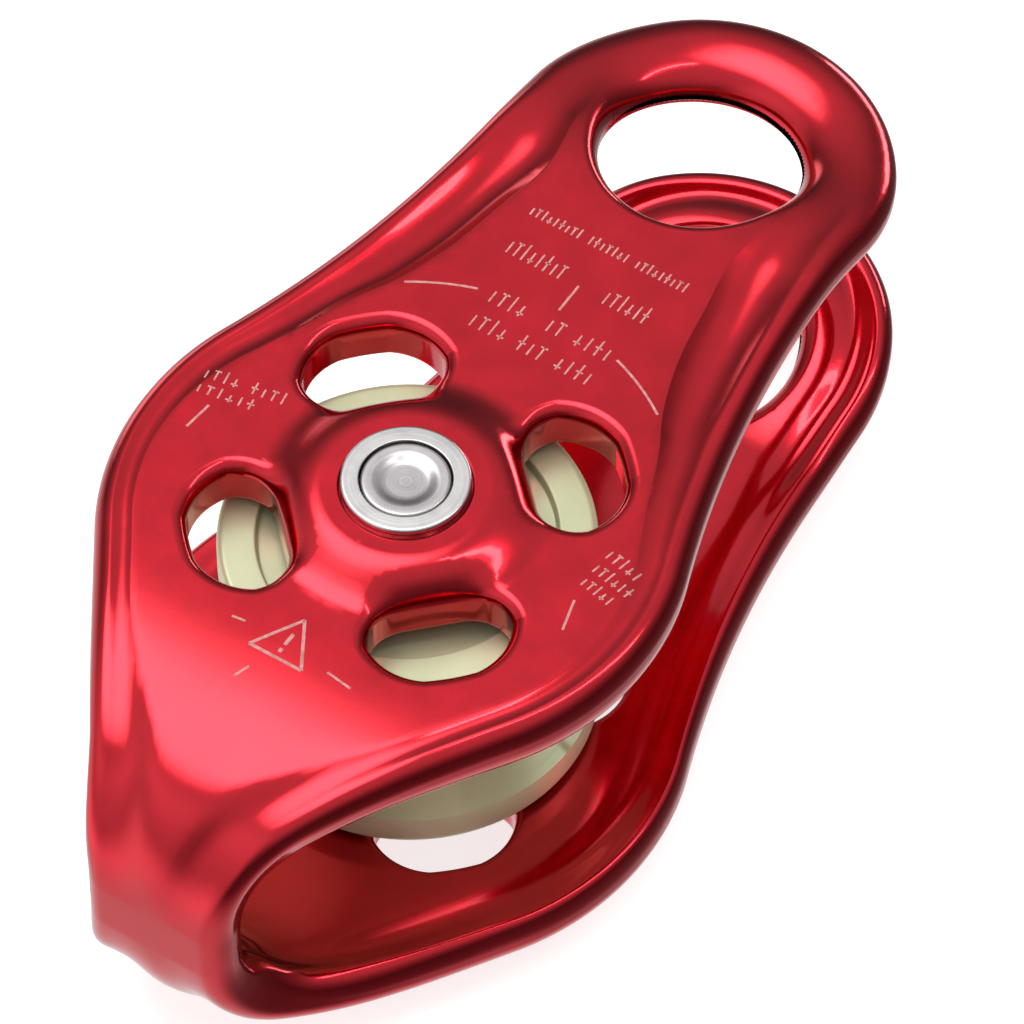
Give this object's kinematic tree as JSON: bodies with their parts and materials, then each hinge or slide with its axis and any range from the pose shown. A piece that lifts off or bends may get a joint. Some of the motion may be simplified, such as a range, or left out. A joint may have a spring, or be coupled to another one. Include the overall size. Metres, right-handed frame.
{
  "type": "rope pulley",
  "caption": "Rigging pulley with a one-piece forged U body, a carabiner eye, a becket bend and a grooved sheave on ball bearings.",
  "frame": {"origin": "on the axle, midway between the two cheeks, at the centre of the sheave's groove", "axes": "+Z along the axle towards the upper cheek, +Y from the bend towards the eye, +X across the cheeks"},
  "size_m": [0.06, 0.123, 0.0454],
  "materials": {
    "anodised_body": "glossy red anodised forging, polished before anodising",
    "anodised_sheave": "satin pale green-gold anodised, turned",
    "axle_steel": "fine turned stainless steel with a dished, peened head",
    "washer_steel": "fine turned stainless steel",
    "spacer_steel": "turned steel",
    "bearing_steel": "ground and polished bearing steel",
    "shield_steel": "pressed thin sheet, satin",
    "cage_brass": "turned brass",
    "ring_steel": "black phosphated spring steel"
  },
  "bodies": {
    "frame": {"forged_body": "anodised_body", "axle_pin": "axle_steel", "upper_washer": "washer_steel", "lower_washer": "washer_steel", "centre_sleeve": "spacer_steel", "upper_collar": "spacer_steel", "lower_collar": "spacer_steel", "upper_inner_race": "bearing_steel", "lower_inner_race": "bearing_steel"},
    "sheave_assembly": {"sheave": "anodised_sheave", "upper_outer_race": "bearing_steel", "upper_outer_shield": "shield_steel", "upper_inner_shield": "shield_steel", "upper_retaining_ring": "ring_steel", "lower_outer_race": "bearing_steel", "lower_outer_shield": "shield_steel", "lower_inner_shield": "shield_steel", "lower_retaining_ring": "ring_steel"},
    "upper_ball_set": {"upper_balls": "bearing_steel", "upper_cage": "cage_brass"},
    "lower_ball_set": {"lower_balls": "bearing_steel", "lower_cage": "cage_brass"}
  },
  "joints": [
    {"name": "sheave_spin", "type": "hinge", "parent": "frame", "child": "sheave_assembly", "pos_m": [0, 0, 0], "axis": [0, 0, 1], "continuous": true},
    {"name": "upper_ball_orbit", "type": "hinge", "parent": "frame", "child": "upper_ball_set", "pos_m": [0, 0, 0.0093], "axis": [0, 0, 1], "continuous": true},
    {"name": "lower_ball_orbit", "type": "hinge", "parent": "frame", "child": "lower_ball_set", "pos_m": [0, 0, -0.0093], "axis": [0, 0, 1], "continuous": true}
  ],
  "couplings": [
    {"joint": "upper_ball_orbit", "follows": "sheave_spin", "ratio": 0.58333},
    {"joint": "lower_ball_orbit", "follows": "sheave_spin", "ratio": 0.58333}
  ]
}
